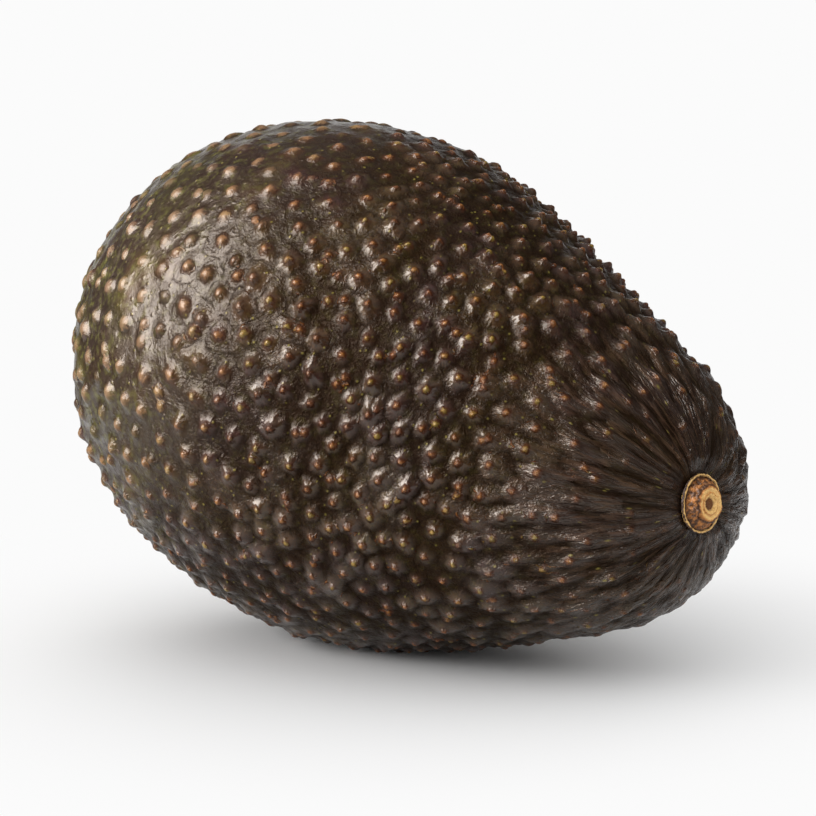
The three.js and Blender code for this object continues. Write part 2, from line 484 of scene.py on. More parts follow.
def bumps(places, centres, radius, hill, bead, bead_radius, bead_edge, tail, seed):
    """A field of bumps: a broad hill each, with a round bead on it. Every size is one per bump.

    A hill leans a little, its foot is ragged and its flanks are folded, and its tail draws it out
    towards the neck. A bead's edge is sharp under 1 and runs out softly over it.
    Gives the height at each place, the bump that it belongs to, and how near it is to that bump's
    tip, from 0 at the foot to 1.
    """
    rng = np.random.default_rng(seed)
    lean = rng.normal(size=(len(centres), 3))
    lean /= np.linalg.norm(lean, axis=1, keepdims=True)
    draw = rng.uniform(0, LEAN, len(centres))
    near = nearest(places, centres, 3)
    way = places[:, None] - centres[near]
    way -= (np.sum(way * lean[near], axis=2) * draw[near])[..., None] * lean[near]
    ragged = 1 + RAGGED_FOOT * noise(places / (0.8 * MM), seed + 1)
    off = np.linalg.norm(way, axis=2) * ragged[:, None]
    round_bead = np.clip(1 - (off / bead_radius[near]) ** 2, 0, 1) ** bead_edge[near]

    side = way / np.maximum(np.linalg.norm(way, axis=2, keepdims=True), 1e-9)
    folds = noise((side * 1.5 + near[..., None] * 7.3).reshape(-1, 3), seed + 2)
    stretch = np.where(way[..., 0] > 0, 1 + tail[near], 1)
    way[..., 0] /= stretch
    out = np.linalg.norm(way, axis=2) * ragged[:, None] / radius[near]
    out *= 1 + FLANK_FOLDS * folds.reshape(out.shape)
    inside = np.clip(1 - out, 0, 1)
    lifts = hill[near] * np.clip(1 - out * out, 0, 1) ** FOOT_ROUNDING
    lifts += bead[near] * round_bead
    own = np.argmax(lifts + 1e-6 * inside, axis=1)
    row = np.arange(len(places))
    total = OWN_SHARE * lifts[row, own] + (1 - OWN_SHARE) * lifts.sum(axis=1)
    return total, near[row, own], inside[row, own]


def drift(points, size, seeds):
    """A smooth random way off each point, about one long, that changes over size."""
    return np.stack([noise(points / size, seed) for seed in seeds], axis=1)


def pebble_places(space, spacing):
    """Where the pebbles sit, evenly spaced, with their few small twins last. Tells how many."""
    pebbles = evened(space, space[scattered(space, spacing, tries=60000, seed=11)])
    twins = space[scattered(space, spacing * 2.3, tries=9000, seed=12)]
    return np.vstack([pebbles, twins]), len(twins)


def grains(space, sizes, rng):
    """Heights of the small bumps and dents between the pebbles."""
    centres = space[scattered(space, sizes.grain_spacing, tries=90000, seed=13)]
    none = np.zeros(len(centres))
    lift, _, _ = bumps(
        space, centres,
        radius=rng.uniform(0.5, 1.0, len(centres)) * MM,
        hill=sizes.grain_height * rng.uniform(-0.6, 1.6, len(centres)),
        bead=none, bead_radius=none + MM, bead_edge=none + 1, tail=none, seed=22)
    return lift


def creases(space, warped, pebbles, dome):
    """Creases half way between two pebbles, here deep and there faint, and none by a dome."""
    pair = nearest(warped, pebbles, 2)
    far = np.linalg.norm(warped[:, None] - pebbles[pair], axis=2)
    crease = np.exp(-((far[:, 1] - far[:, 0]) / (0.45 * MM)) ** 2)
    crease *= 0.3 + 0.7 * smoothstep(-0.4, 0.4, noise(space / (6 * MM), 34))
    return crease * (1 - dome[pair[:, 0]])


def pleats(space):
    """Long folds, coarse and fine, 1 on a crest."""
    along = (space + 0.9 * MM * drift(space, 7 * MM, (37, 38, 39))) * [0.13, 1, 1]
    return 0.72 * ridges(along / (2.6 * MM), 41) + 0.28 * ridges(along / (1.2 * MM), 42)


class Relief:
    """Heights over the bare fruit, and the masks that the rind's material reads."""

    def __init__(self, bare, space, neck, sizes):
        rng = np.random.default_rng(5)
        share = bare.arc / bare.arc_end
        blossom = 1 - smoothstep(*DOMES_END, share)
        blossom *= smoothstep(14 * MM, 38 * MM, bare.lying[:, 2])
        pebbles, twins = pebble_places(space, sizes.pebble_spacing * (0.9 + 0.28 * blossom))
        count = len(pebbles)
        top = nearest(pebbles, space, 1)[:, 0]
        dome = blossom[top]

        # Pebbles stand lower at the very end, under the belly and on top, highest on the flank.
        stand = 0.6 + 0.4 * smoothstep(0.03, 0.22, share[top])
        stand *= 0.6 + 0.4 * smoothstep(8 * MM, 34 * MM, bare.lying[top, 2])
        stand *= 1 + 0.25 * smoothstep(0.4, 0.55, share[top])
        stand *= 1 - 0.3 * smoothstep(52 * MM, 66 * MM, bare.lying[top, 2])
        size = rng.uniform(0.78 - 0.2 * dome, 1.2)
        size[-twins:] *= 0.72
        tall = size * stand * rng.uniform(0.75, 1.25, count)
        by_neck = smoothstep(*PEBBLES_SHRINK, share[top])
        pebble_lift, own, closeness = bumps(
            space, pebbles,
            radius=sizes.hill_radius * size,
            hill=sizes.hill_height * tall * (1 - 0.75 * dome) * (1 - 0.6 * by_neck),
            bead=sizes.bead_height * tall * (1 + 0.3 * dome) * (1 - 0.7 * by_neck),
            bead_radius=sizes.bead_radius * size * (1 + dome), bead_edge=0.8 + 0.1 * dome,
            tail=2.0 * smoothstep(*TAILS_BEGIN, share[top]), seed=21)
        grain_lift = grains(space, sizes, rng)

        warped = space + 0.5 * MM * drift(space, 2.0 * MM, (31, 32, 33))
        crease = creases(space, warped, pebbles, dome)
        swell = 0.26 * MM * noise(space / (9 * MM), 35) + 0.2 * MM * noise(space / (3.6 * MM), 36)
        dents = 0.07 * MM * noise(space / (1.7 * MM), 45)
        wrinkle = 0.08 * MM * (ridges(warped / (1.6 * MM), 44) - 0.5)
        # How far the whole relief is sunk, so that the outline keeps its size.
        sunk = 0.46 * (sizes.hill_height + sizes.bead_height)

        self.height = (
            swell * (1 - 0.5 * neck)
            + pebble_lift
            - sunk * (1 - 0.5 * smoothstep(*SUNK_LESS, share))
            + grain_lift * (1 - closeness) * (1 - 0.5 * neck) * (1 - 0.8 * blossom)
            + dents * blossom * (1 - closeness)
            - sizes.groove_depth * crease * (1 - 0.6 * neck)
            + sizes.pleat_height * (0.6 - pleats(space)) * smoothstep(*PLEATS_BEGIN, share)
            + wrinkle * (1 - closeness) * (1 - dome[own])
        )
        self.way = (bare.points - bare.points[top[own]]) / MM
        # How high the skin stands, 0 low to 1 high: the material paints shade where it is low, and
        # gives it less gloss there.
        self.lift = smoothstep(-0.5 * MM, 0.2 * MM, self.height)
        self.tint = rng.uniform(0, 1, count)[own]
        self.dome = dome[own]
        self.closeness = closeness


def sink_seat(points, seat, axes, sizes):
    """Sinks a basin for the button's rim and a socket for its plug in the neck."""
    reach, gap, under_rim = 12 * MM, 0.1 * MM, 0.15 * MM
    basin_slope, socket_slope = 3.0 * MM, 0.5 * MM
    outward = np.array(axes.col[2])
    off = points - seat
    height = off @ outward
    sideways = np.linalg.norm(off - height[:, None] * outward, axis=1)
    by_seat = height > -reach
    floor = -sizes.rim_thickness - under_rim
    near_rim, far_rim = sizes.rim_radius + gap, sizes.rim_radius + basin_slope
    basin = (1 - smoothstep(near_rim, far_rim, sideways)) * by_seat
    drop = basin * (floor - height)
    socket_depth = sizes.plug_length + gap
    in_socket, out_socket = sizes.plug_radius - socket_slope, sizes.plug_radius + socket_slope
    socket = (1 - smoothstep(in_socket, out_socket, sideways)) * by_seat
    drop -= socket * socket_depth
    return points + drop[:, None] * outward, basin


def add_field(mesh, name, values):
    kind = "FLOAT_VECTOR" if values.ndim == 2 else "FLOAT"
    field = mesh.attributes.new(name, kind, "POINT")
    slot = "vector" if values.ndim == 2 else "value"
    field.data.foreach_set(slot, values.astype(np.float32).ravel())


def applied(piece):
    """Replaces a piece's mesh by what its modifiers make of it."""
    graph = bpy.context.evaluated_depsgraph_get()
    finished = bpy.data.meshes.new_from_object(piece.evaluated_get(graph))
    piece.modifiers.clear()
    rough = piece.data
    piece.data = finished
    bpy.data.meshes.remove(rough)


def corners_of(mesh):
    corners = np.empty(3 * len(mesh.vertices))
    mesh.vertices.foreach_get("co", corners)
    return corners.reshape(-1, 3)


def set_corners(mesh, corners):
    mesh.vertices.foreach_set("co", corners.astype(np.float32).ravel())
    mesh.update()


def normals_of(mesh):
    normals = np.empty(3 * len(mesh.vertices), np.float32)
    mesh.vertex_normals.foreach_get("vector", normals)
    return normals.reshape(-1, 3).astype(float)


def settle(points, level=0.0, softness=0.12 * MM):
    """Presses whatever would reach under the surface flat on to it."""
    over = points[:, 2] - level
    points[:, 2] = level + (over + np.sqrt(over ** 2 + softness ** 2)) / 2
    return points


class AVOCADO_OT_rind(bpy.types.Operator):
    """Grows the pebbled rind over the bare fruit"""

    bl_idname = "avocado.rind"
    bl_label = "Rind"

    def execute(self, context):
        scene = context.scene
        form, sizes, button = scene.avocado_form, scene.avocado_relief, scene.avocado_button
        grid = bmesh.new()
        bmesh.ops.create_icosphere(grid, subdivisions=BALL_SUBDIVISIONS, radius=1.0)
        mesh = bpy.data.meshes.new("rind")
        grid.to_mesh(mesh)
        grid.free()

        bare = BareFruit(form, corners_of(mesh))
        seat, axes = stalk_seat(form, button)
        space, neck, gather = pattern_space(bare, bare.upright(seat))
        relief = Relief(bare, space, neck, sizes)
        # The relief runs out where its lines run together, and again under the button.
        relief.height *= 0.15 + 0.85 * gather
        sunk, basin = sink_seat(bare.lying, seat, axes, button)
        set_corners(mesh, sunk)
        relief.height *= 1 - 0.7 * smoothstep(0.6, 1.0, basin)
        set_corners(mesh, settle(sunk + relief.height[:, None] * normals_of(mesh)))

        add_field(mesh, "grain", space)
        add_field(mesh, "neck", neck)
        for name in ("way", "closeness", "tint", "dome", "lift"):
            add_field(mesh, name, getattr(relief, name))

        rind = bpy.data.objects.new("rind", mesh)
        scene.collection.objects.link(rind)
        thin = rind.modifiers.new("thin out", "DECIMATE")
        thin.ratio = sizes.triangles / len(mesh.polygons)
        applied(rind)
        rind.data.name = "rind"
        rind.data.polygons.foreach_set("use_smooth", np.ones(len(rind.data.polygons), bool))
        rind.data.materials.append(ripe_rind(scene.avocado_rind_colours))
        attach(rind, "root")
        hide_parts("fruit")
        return {"FINISHED"}


# ------------------------------------------------------------------ stalk button

SEAT_TURNS = 72            # corners round the button when its extent is worked out
BUTTON_TURNS = 160         # corners round the finished button


def button_outline(sizes):
    """Radius and height of the button's half outline, from under the plug to the pith."""
    rim, boss, pith = sizes.rim_radius, sizes.boss_top, sizes.pith_radius
    top = sizes.boss_height
    under = -sizes.rim_thickness
    foot = under - sizes.plug_length
    plug = sizes.plug_radius
    return np.array([
        (0, foot),
        (plug - 0.9 * MM, foot),
        (plug - 0.45 * MM, foot + 0.4 * MM),
        (plug - 0.2 * MM, under - 0.3 * MM),
        (plug + 0.2 * MM, under),
        (rim - 0.25 * MM, under),
        (rim, under / 2),
        (rim - 0.06 * MM, -0.02 * MM),
        (rim - 0.28 * MM, -0.04 * MM),
        (sizes.boss_foot + 0.2 * MM, -0.28 * MM),
        (sizes.boss_foot - 0.1 * MM, 0.05 * MM),
        (boss + 0.45 * MM, top * 0.62),
        (boss + 0.08 * MM, top * 0.88),
        (boss - 0.2 * MM, top),
        (boss - 0.58 * MM, top - 0.3 * MM),
        (pith + 0.32 * MM, top + 0.02 * MM),
        (pith + 0.05 * MM, top - 0.06 * MM),
        (pith - 0.22 * MM, top - sizes.pith_depth),
        (0.35 * MM, top - sizes.pith_depth * 0.8),
        (0, top - sizes.pith_depth * 0.75),
    ])


def stalk_seat(form, sizes):
    """Where the rim's upper side is centred, and how the button is turned there."""
    axes = seat_axes(form)
    outline = button_outline(sizes)
    turns = np.linspace(0, 2 * np.pi, SEAT_TURNS, endpoint=False)
    ring = np.stack([np.cos(turns), np.sin(turns)], axis=1)
    cloud = np.concatenate([
        np.column_stack([radius * ring, np.full(len(ring), height)]) for radius, height in outline])
    cloud = cloud @ np.array(axes).T
    low, high = (np.array(corner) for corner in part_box("stalk_button"))
    seat = (low + high) / 2 - (cloud.min(0) + cloud.max(0)) / 2
    return seat, axes


def rounded(outline, times):
    """An outline with its corners cut, times over, its two ends kept."""
    for _ in range(times):
        before, after = outline[:-1], outline[1:]
        cut = np.stack([before * 0.75 + after * 0.25, before * 0.25 + after * 0.75], axis=1)
        outline = np.vstack([outline[:1], cut.reshape(-1, 2)[1:-1], outline[-1:]])
    return outline


class AVOCADO_OT_stalk_button(bpy.types.Operator):
    """Seats the corky button of the cut stalk in the neck"""

    bl_idname = "avocado.stalk_button"
    bl_label = "Stalk button"

    def execute(self, context):
        scene = context.scene
        sizes = scene.avocado_button
        outline = rounded(button_outline(sizes), 3)
        turns = np.linspace(0, 2 * np.pi, BUTTON_TURNS, endpoint=False)
        body = outline[1:-1]
        radius, height = body[:, 0][:, None], body[:, 1][:, None]
        rings = np.stack([
            radius * np.cos(turns), radius * np.sin(turns), height + 0 * turns], axis=2)
        corners = np.vstack([
            rings.reshape(-1, 3), [(0, 0, outline[0, 1])], [(0, 0, outline[-1, 1])]])
        bottom, top = len(corners) - 2, len(corners) - 1
        faces = []
        last = (len(body) - 1) * BUTTON_TURNS
        around = [(n, (n + 1) % BUTTON_TURNS) for n in range(BUTTON_TURNS)]
        for row in range(0, last, BUTTON_TURNS):
            for n, after in around:
                a, b = row + n, row + after
                faces.append((a, b, b + BUTTON_TURNS, a + BUTTON_TURNS))
        for n, after in around:
            faces.append((bottom, after, n))
            faces.append((top, last + n, last + after))
        mesh = bpy.data.meshes.new("stalk_button_cork")
        mesh.from_pydata(corners.tolist(), [], faces)
        mesh.update()

        out = np.hypot(corners[:, 0], corners[:, 1])
        flank = smoothstep(sizes.boss_top - 0.2 * MM, sizes.boss_top + 0.3 * MM, out)
        flank *= 1 - smoothstep(sizes.boss_foot + 0.1 * MM, sizes.rim_radius - 0.2 * MM, out)
        flank *= corners[:, 2] > -sizes.rim_thickness / 2
        ribs = ridges(corners * [1, 1, 0.3] / (0.8 * MM), 61) - 0.5
        rough = ribs + 0.5 * noise(corners / (0.35 * MM), 62)
        ragged = noise(corners / (1.4 * MM), 64) + noise(corners / (0.4 * MM), 63)
        lift = 0.24 * MM * rough * flank + 0.1 * MM * ragged
        lift *= corners[:, 2] > -sizes.rim_thickness
        set_corners(mesh, corners + lift[:, None] * normals_of(mesh))
        mesh.polygons.foreach_set("use_smooth", np.ones(len(mesh.polygons), bool))
        mesh.materials.append(dry_cork(scene.avocado_button_colours, sizes))

        button = bpy.data.objects.new("stalk_button_cork", mesh)
        scene.collection.objects.link(button)
        seat, axes = stalk_seat(scene.avocado_form, sizes)
        button.matrix_world = Matrix.Translation(seat) @ axes.to_4x4()
        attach(button, "root")
        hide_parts("stalk_button")
        return {"FINISHED"}


# ------------------------------------------------------------------ materials

CUTICLE_IOR = 1.38
WAX_IOR = 1.55
WARM_SHEEN = linear("#ffdcb8")     # what the brown skin's own gloss is tinted with
PORE_SPACING = 1.3 * MM            # real pores are nearer together, and too fine to show


def add_node(tree, kind, inputs=None, out=0, stops=None, **settings):
    """Adds one node and gives its output, by number or name, or the node if it has none.

    Each input is a plain value, or the output that feeds it.
    """
    made = tree.nodes.new(kind)
    for name, value in settings.items():
        setattr(made, name, value)
    for name, value in (inputs or {}).items():
        socket = made.inputs[name]
        if isinstance(value, bpy.types.NodeSocket):
            tree.links.new(value, socket)
        else:
            socket.default_value = value
    for n, (place, colour) in enumerate(stops or ()):
        ramp = made.color_ramp.elements
        stop = ramp[n] if n < 2 else ramp.new(place)
        stop.position = place
        stop.color = (*colour, 1)
    return made.outputs[out] if made.outputs else made


def new_material(name):
    material = bpy.data.materials.new(name)
    material.use_nodes = True
    material.node_tree.nodes.clear()
    return material, material.node_tree


def cuticle_lines(add, grain, way, distance, tint):
    """Clouds, and how far each place is off a cloud's middle level, where a line runs.

    The lines are finer on a real cuticle, and drawn about 0.5 mm apart so that they show.
    """
    own_turn = add("ShaderNodeCombineXYZ", {"X": tint, "Y": tint, "Z": distance})
    turned = add(
        "ShaderNodeVectorMath", {0: own_turn, 1: (40, 17, 0.35)}, operation="MULTIPLY")
    outward = add("ShaderNodeVectorMath", {0: way}, operation="NORMALIZE")
    spokes = add("ShaderNodeVectorMath", {0: outward, 1: turned}, operation="ADD")
    lengthwise = add(
        "ShaderNodeVectorMath", {0: grain, 1: (0.13, 1, 1)}, operation="MULTIPLY")
    clouds, lines = {}, {}
    for name, vector, size, detail, wander in (
        ("fibres", grain, 0.6 * MM, 3, 0.8),
        ("crumples", grain, 1.5 * MM, 2, 0.6),
        ("spokes", spokes, 0.36, 2, 0.3),
        ("strands", lengthwise, 0.9 * MM, 3, 0.2),
    ):
        clouds[name] = add(
            "ShaderNodeTexNoise",
            {"Vector": vector, "Scale": 1 / size, "Detail": detail, "Distortion": wander})
        apart = add("ShaderNodeMath", {0: clouds[name], 1: 0.5}, operation="SUBTRACT")
        lines[name] = add("ShaderNodeMath", {0: apart}, operation="ABSOLUTE")
    return clouds, lines


def tip_colour(add, field, colours):
    """Red, copper or olive from one tip to the next, gold where unripe, tan on round pebbles."""
    red, copper, pale = (
        tuple(colour) for colour in (colours.tip_red, colours.tip, colours.tip_pale))
    tip = add(
        "ShaderNodeValToRGB", {"Fac": field["tint"]},
        stops=[(0.15, red), (0.4, copper), (0.75, copper), (0.9, pale)])
    for side, most, colour in (("unripe", 0.85, colours.tip_gold), ("dome", 0.95, colours.tan)):
        share = add("ShaderNodeMath", {0: field[side], 1: most}, operation="MULTIPLY")
        tip = add(
            "ShaderNodeMix", {0: share, 6: tip, 7: (*colour, 1)}, out=2, data_type="RGBA")
    return tip


def tip_spots(add, field, fibres):
    """How far each place is inside the rings of its pebble's tip.

    A golden core, a copper cap about 1 mm wide, a red-brown halo and the hard bead itself, all
    wider on the round pebbles of the blossom end.
    """
    waver = add("ShaderNodeMath", {0: fibres, 1: 0.8, 2: -0.4}, operation="MULTIPLY_ADD")
    wide = add("ShaderNodeMath", {0: field["dome"], 1: 1.5, 2: 1.0}, operation="MULTIPLY_ADD")
    narrowed = add("ShaderNodeMath", {0: field["distance"], 1: wide}, operation="DIVIDE")
    wavering = add("ShaderNodeMath", {0: narrowed, 1: waver}, operation="ADD")
    edge = add("ShaderNodeMath", {0: wavering, 1: field["border"]}, operation="MAXIMUM")
    spots = {}
    for name, inner, outer, most in (
        ("halo", 0.35, 0.9, 0.75),
        ("cap", 0.16, 0.52, 1.0),
        ("core", 0.0, 0.2, 0.4),
        ("bead", 0.1, 0.75, 1.0),
    ):
        spots[name] = add(
            "ShaderNodeMapRange",
            {"Value": edge, "From Min": inner, "From Max": outer, "To Min": most, "To Max": 0.0},
            interpolation_type="SMOOTHSTEP")
    return spots


def ripe_rind(colours):
    """Ripe avocado rind: a waxed cuticle over hard corky pebbles.

    The wax gives small bright reflections, the pebbles' worn tips are matt copper cork, and the
    skin between them is near black with olive and plum patches.
    """
    material, tree = new_material("ripe_avocado_rind")
    add = functools.partial(add_node, tree)
    grain, way = (
        add("ShaderNodeAttribute", out="Vector", attribute_name=name) for name in ("grain", "way"))
    field = {
        name: add("ShaderNodeAttribute", out="Fac", attribute_name=name)
        for name in ("closeness", "tint", "dome", "neck", "lift")}
    field["distance"] = add("ShaderNodeVectorMath", {0: way}, out="Value", operation="LENGTH")
    field["station"] = add("ShaderNodeSeparateXYZ", {0: grain})
    clouds, lines = cuticle_lines(add, grain, way, field["distance"], field["tint"])
    field["fibres"], field["strands"] = clouds["fibres"], clouds["strands"]
    pore, pore_kind = (
        add("ShaderNodeTexVoronoi", {"Vector": grain, "Scale": 1 / PORE_SPACING}, out=out)
        for out in ("Distance", "Color"))
    field["pore"] = pore
    field["pore kind"] = add("ShaderNodeSeparateColor", {"Color": pore_kind})

    # Each of these goes from its first value to its last while its field runs from start to end.
    # Heights are in millimetres.
    for name, source, start, end, first, last in (
        ("on neck", "neck", 0.25, 0.8, 0.0, 1.0),
        ("off seat", "neck", 0.7, 0.95, 1.0, 0.1),
        ("by pebble", "distance", 0.5, 1.4, 0.8, 0.0),
        ("border", "closeness", 0.0, 0.35, 2.0, 0.0),
        ("between", "closeness", 0.1, 0.6, 1.0, 0.2),
        ("unripe", "station", 35 * MM, 62 * MM, 1.0, 0.2),
        ("worn", "tint", 0.0, 0.5, 0.3, 0.95),
        # The next two mark where a highlight is painted on the crests of the neck's strands, and
        # shade in their furrows.
        ("ridge_highlight", "strands", 0.5, 0.66, 0.0, 1.0),
        ("furrow_shade", "strands", 0.35, 0.5, 1.0, 0.0),
        ("groove width", "on neck", 0.0, 1.0, 0.07, 0.17),
        ("off dome", "dome", 0.0, 0.35, 1.0, 0.0),
        ("pore spot", "pore", 0.07, 0.18, 1.0, 0.0),
        ("pore shown", "pore kind", 0.3, 0.7, 0.0, 1.0),
        ("bead height", "dome", 0.0, 1.0, 0.28, 0.02),
        ("fold height", "dome", 0.0, 1.0, 0.34, 0.0),
        ("skin roughness", "fibres", 0.35, 0.7, 0.3, 0.44),
        ("wax", "dome", 0.0, 1.0, 0.75, 0.4),
        ("wax blur", "dome", 0.0, 1.0, 0.1, 0.2),
    ):
        field[name] = add(
            "ShaderNodeMapRange",
            {"Value": field[source], "From Min": start, "From Max": end,
             "To Min": first, "To Max": last})

    on_belly = add(
        "ShaderNodeMix", {0: field["by pebble"], 2: lines["fibres"], 3: lines["spokes"]},
        data_type="FLOAT")
    fold = add(
        "ShaderNodeMix", {0: field["on neck"], 2: on_belly, 3: lines["strands"]},
        data_type="FLOAT")
    # Painted shade in the bottoms of the fine lines and of the neck's strands, where the bump sinks
    # lowest.
    groove_shade = add(
        "ShaderNodeMapRange",
        {"Value": fold, "From Max": field["groove width"], "To Min": 1.0, "To Max": 0.0})
    patches = {}
    for name, size, detail, low, high in (
        ("plum", 14 * MM, 3, 0.42, 0.6),
        ("olive", 6 * MM, 5, 0.46, 0.64),
        ("moss", 1.1 * MM, 4, 0.46, 0.76),
    ):
        cloud = add(
            "ShaderNodeTexNoise", {"Vector": grain, "Scale": 1 / size, "Detail": detail})
        patches[name] = add(
            "ShaderNodeMapRange", {"Value": cloud, "From Min": low, "From Max": high},
            interpolation_type="SMOOTHSTEP")
    # The first mask is painted shade, darkest where the skin lies lowest between the pebbles; the
    # second is a low bead round each pore.
    hollow_shade, small_bead = (
        add(
            "ShaderNodeMapRange",
            {"Value": field[source], "From Max": end, "To Min": 1.0, "To Max": 0.0},
            interpolation_type="SMOOTHSTEP")
        for source, end in (("lift", 0.8), ("pore", 0.4)))

    # The skin's colours, laid one over the other: each by two masks and a greatest share. Three
    # layers are painted shade and one is a painted highlight.
    spots = tip_spots(add, field, clouds["fibres"])
    tip = tip_colour(add, field, colours)
    worn = add("ShaderNodeMath", {0: field["worn"], 1: field["off seat"]}, operation="MULTIPLY")
    ringed, capped = (
        add("ShaderNodeMath", {0: field["dome"], 1: less, 2: worn}, operation="MULTIPLY_ADD")
        for less in (-1.0, -0.4))
    skin = (*colours.ground, 1)
    for mask, other, most, colour in (
        (patches["plum"], 1.0, 1.0, colours.plum),
        (patches["olive"], field["unripe"], 0.85, colours.olive),
        # Painted shade low between the pebbles.
        (hollow_shade, 1.0, 0.8, colours.hollow_shade),
        (patches["moss"], field["unripe"], 0.62, colours.moss),
        # Painted shade in the grooves off the domes, and in the neck's furrows.
        (groove_shade, field["off dome"], 0.8, colours.hollow_shade),
        (field["furrow_shade"], field["on neck"], 0.75, colours.hollow_shade),
        # Painted highlight on the crests of the neck's ridges.
        (field["ridge_highlight"], field["on neck"], 0.6, colours.ridge_highlight),
        (field["pore spot"], field["pore shown"], 0.7, colours.speck),
        (spots["halo"], ringed, 1.0, colours.halo),
        (spots["cap"], capped, 1.0, tip),
        (spots["core"], ringed, 1.0, colours.core),
    ):
        both = add("ShaderNodeMath", {0: mask, 1: other}, operation="MULTIPLY")
        share = add(
            "ShaderNodeMath", {0: both, 1: most}, operation="MULTIPLY", use_clamp=True)
        over = colour if colour is tip else (*colour, 1)
        skin = add("ShaderNodeMix", {0: share, 6: skin, 7: over}, out=2, data_type="RGBA")

    # Fine relief, in millimetres: the bead, a low bead round each pore, lines and crumples.
    on_skin = add(
        "ShaderNodeMath", {0: field["fold height"], 1: field["between"]}, operation="MULTIPLY")
    deep = add("ShaderNodeMapRange", {"Value": field["on neck"], "To Min": on_skin, "To Max": 1.6})
    smooth = add("ShaderNodeMath", {0: field["dome"], 1: field["on neck"]}, operation="MAXIMUM")
    crumpled = add("ShaderNodeMapRange", {"Value": smooth, "To Min": 2.2, "To Max": 0.5})
    crumpled = add("ShaderNodeMath", {0: crumpled, 1: field["between"]}, operation="MULTIPLY")
    rounded_crumples = add(
        "ShaderNodeMath", {0: lines["crumples"], 1: lines["crumples"]}, operation="MULTIPLY")
    height = 0.0
    for shape, size in (
        (spots["bead"], field["bead height"]),
        (small_bead, 0.06),
        (fold, deep),
        (rounded_crumples, crumpled),
    ):
        height = add("ShaderNodeMath", {0: shape, 1: size, 2: height}, operation="MULTIPLY_ADD")
    wrinkled = add("ShaderNodeBump", {"Height": height, "Strength": 1.0, "Distance": MM})
    pitted = add("ShaderNodeTexNoise", {"Vector": grain, "Scale": 1 / (0.22 * MM), "Detail": 1})
    fine = add(
        "ShaderNodeBump",
        {"Height": pitted, "Strength": 1.0, "Distance": 0.03 * MM, "Normal": wrinkled})

    # Wax shines on what stands out and on the open skin of the blossom end. The hollows are
    # dull, and so are the corky tips.
    open_skin = add("ShaderNodeMath", {0: field["lift"], 1: field["dome"]}, operation="MAXIMUM")
    thin = add(
        "ShaderNodeMath", {0: field["on neck"], 1: -0.15, 2: field["wax"]},
        operation="MULTIPLY_ADD")
    bare_tip = add("ShaderNodeMath", {0: spots["cap"], 1: -0.3, 2: 1.0}, operation="MULTIPLY_ADD")
    waxy = add("ShaderNodeMath", {0: open_skin, 1: thin}, operation="MULTIPLY")
    wax = add("ShaderNodeMath", {0: waxy, 1: bare_tip}, operation="MULTIPLY")
    gloss = add("ShaderNodeMapRange", {"Value": open_skin, "To Min": 0.12, "To Max": 0.5})
    gloss = add("ShaderNodeMath", {0: field["dome"], 1: 0.12, 2: gloss}, operation="MULTIPLY_ADD")
    rough = add(
        "ShaderNodeMath", {0: spots["cap"], 1: 0.12, 2: field["skin roughness"]},
        operation="MULTIPLY_ADD")
    shader = add("ShaderNodeBsdfPrincipled", {
        "Base Color": skin, "Roughness": rough, "Normal": fine, "IOR": CUTICLE_IOR,
        "Specular IOR Level": gloss, "Specular Tint": (*WARM_SHEEN, 1), "Coat Weight": wax,
        "Coat Roughness": field["wax blur"], "Coat IOR": WAX_IOR, "Coat Normal": wrinkled})
    add("ShaderNodeOutputMaterial", {"Surface": shader})
    return material


def dry_cork(colours, sizes):
    """Dry cork of a cut stalk: matt, golden tan, mottled where the bark tore.

    The cut face shows pale rings round darker pith, and the rim has a pale edge.
    """
    material, tree = new_material("dry_stalk_cork")
    add = functools.partial(add_node, tree)
    place = add("ShaderNodeTexCoord", out="Object")
    flat = add("ShaderNodeVectorMath", {0: place, 1: (1, 1, 0)}, operation="MULTIPLY")
    out = add("ShaderNodeVectorMath", {0: flat}, out="Value", operation="LENGTH")
    share = add("ShaderNodeMath", {0: out, 1: sizes.rim_radius}, operation="DIVIDE")
    mottle = add(
        "ShaderNodeTexNoise", {"Vector": place, "Scale": 1 / (0.7 * MM), "Detail": 4.0})
    crumbs = add(
        "ShaderNodeTexVoronoi", {"Vector": place, "Scale": 1 / (0.55 * MM)}, out="Distance")
    wander = add(
        "ShaderNodeMapRange", {"Value": mottle, "To Min": -0.06, "To Max": 0.06})
    share = add("ShaderNodeMath", {0: share, 1: wander}, operation="ADD")
    bark, cork, ring, pith = (
        tuple(c) for c in (colours.bark, colours.cork, colours.ring, colours.pith))
    zones = add(
        "ShaderNodeValToRGB", {"Fac": share},
        stops=[(0.0, pith), (0.17, pith), (0.24, ring), (0.32, ring), (0.37, cork), (0.42, ring),
               (0.5, ring), (0.56, cork), (0.62, bark), (0.68, cork), (0.8, cork), (0.88, bark),
               (0.93, ring), (0.96, ring), (0.985, bark)])
    flank = add(
        "ShaderNodeValToRGB", {"Fac": share},
        stops=[(0.56, (0, 0, 0)), (0.64, (1, 1, 1)), (0.88, (1, 1, 1)), (0.94, (0, 0, 0))])
    patch = add(
        "ShaderNodeMapRange",
        {"Value": mottle, "From Min": 0.42, "From Max": 0.56, "To Min": 0.1, "To Max": 0.9})
    torn = add("ShaderNodeMath", {0: patch, 1: flank}, operation="MULTIPLY")
    colour = add("ShaderNodeMix", {0: torn, 6: zones, 7: (*bark, 1)}, out=2, data_type="RGBA")
    crumbly = add(
        "ShaderNodeMath", {0: crumbs, 1: -0.6, 2: mottle}, operation="MULTIPLY_ADD")
    bump = add(
        "ShaderNodeBump", {"Height": crumbly, "Strength": 1.0, "Distance": 0.3 * MM})
    shader = add("ShaderNodeBsdfPrincipled", {
        "Base Color": colour, "Roughness": 0.55, "Normal": bump})
    add("ShaderNodeOutputMaterial", {"Surface": shader})
    return material


